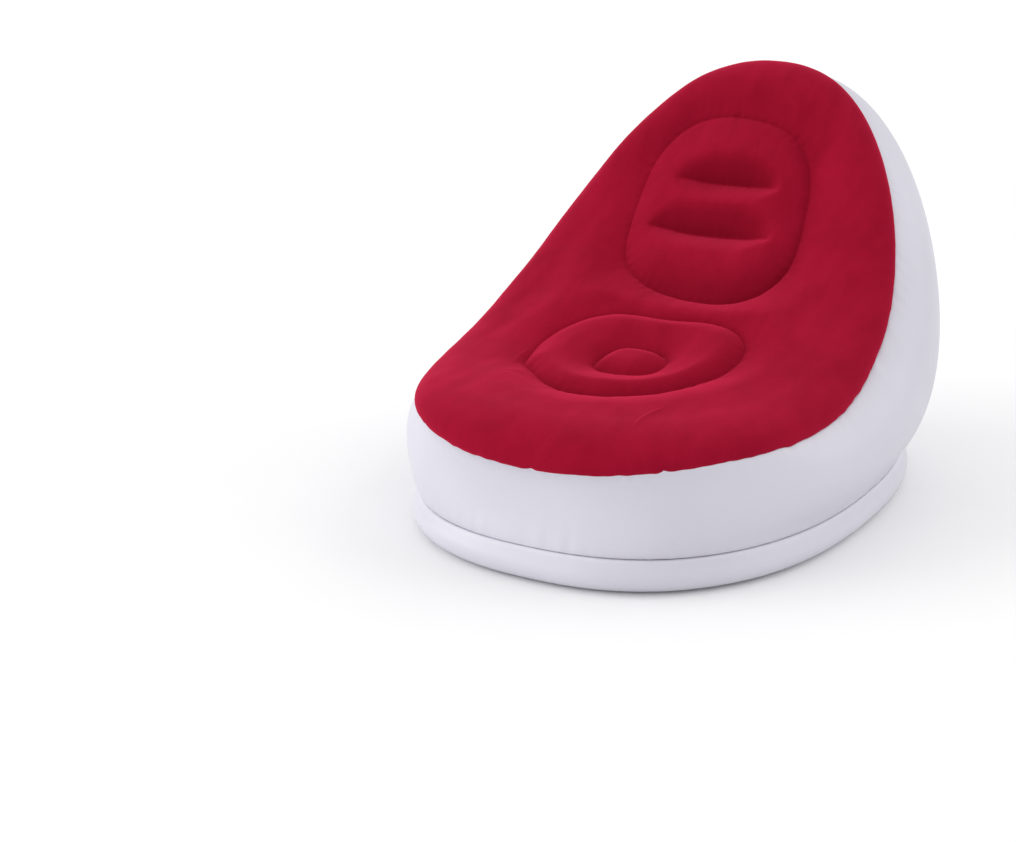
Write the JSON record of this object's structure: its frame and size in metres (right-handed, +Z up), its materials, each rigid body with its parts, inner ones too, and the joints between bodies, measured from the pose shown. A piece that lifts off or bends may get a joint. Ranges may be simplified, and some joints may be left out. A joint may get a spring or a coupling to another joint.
{
  "type": "inflatable lounge chair",
  "caption": "Low inflatable lounge chair with a flocked seat and back in one panel, a bulging vinyl side wall, a base air ring and rear air valves.",
  "frame": {"origin": "on the floor, under the middle of the object's box", "axes": "+Z up, the front of the seat towards -Y, the sitter's left towards +X"},
  "size_m": [0.953, 1.2032, 0.7963],
  "materials": {
    "red_flock": "short velvety flock on vinyl",
    "white_vinyl": "satin",
    "web_vinyl": "satin",
    "valve_plastic": "smooth moulded",
    "valve_flap": "smooth"
  },
  "bodies": {
    "chair_body": {"seat_back_panel": "red_flock", "body_side_wall": "white_vinyl", "body_bottom_sheet": "white_vinyl", "base_ring_outer_wall": "white_vinyl", "base_ring_inner_wall": "white_vinyl", "base_ring_floor_sheet": "white_vinyl", "seat_outer_ring_baffle": "web_vinyl", "seat_inner_ring_baffle": "web_vinyl", "back_oval_baffle": "web_vinyl", "back_upper_tie_strip": "web_vinyl", "back_lower_tie_strip": "web_vinyl", "main_valve_flange": "valve_plastic", "base_valve_flange": "valve_plastic"},
    "valve_strap": {"main_valve_strap": "valve_plastic"},
    "valve_insert": {"main_valve_insert": "valve_plastic"},
    "valve_cap": {"main_valve_cap": "valve_plastic"},
    "valve_flap": {"main_valve_flap": "valve_flap"},
    "stem": {"base_valve_stem": "valve_plastic"},
    "stem_plug": {"base_valve_plug": "valve_plastic"},
    "stem_flap": {"base_valve_flap": "valve_flap"}
  },
  "joints": [
    {"name": "main_valve_rise", "type": "slide", "parent": "chair_body", "child": "valve_strap", "axis": [0, 1, -0.0012], "range_m": [0, 0.008]},
    {"name": "main_valve_turn", "type": "hinge", "parent": "valve_strap", "child": "valve_insert", "pos_m": [0, 0.54409, 0.138], "axis": [0, 1, -0.0012], "range_deg": [0, 720]},
    {"name": "main_valve_cap_open", "type": "hinge", "parent": "valve_strap", "child": "valve_cap", "pos_m": [0, 0.54972, 0.16079], "axis": [1, 0, 0], "range_deg": [0, 115]},
    {"name": "main_valve_flap_open", "type": "hinge", "parent": "valve_insert", "child": "valve_flap", "pos_m": [0, 0.5304, 0.14942], "axis": [-1, 0, 0], "range_deg": [0, 70], "stiffness_Nm_per_rad": 0.0005},
    {"name": "base_stem_pull", "type": "slide", "parent": "chair_body", "child": "stem", "axis": [0, 1, 0], "range_m": [0, 0.012]},
    {"name": "base_plug_open", "type": "hinge", "parent": "stem", "child": "stem_plug", "pos_m": [0, 0.5829, 0.0394], "axis": [1, 0, 0], "range_deg": [0, 110]},
    {"name": "base_flap_open", "type": "hinge", "parent": "stem", "child": "stem_flap", "pos_m": [0, 0.5643, 0.0365], "axis": [-1, 0, 0], "range_deg": [0, 60], "stiffness_Nm_per_rad": 0.0001}
  ],
  "couplings": [
    {"joint": "main_valve_turn", "follows": "main_valve_rise", "rad_per_m": 1570.8}
  ]
}
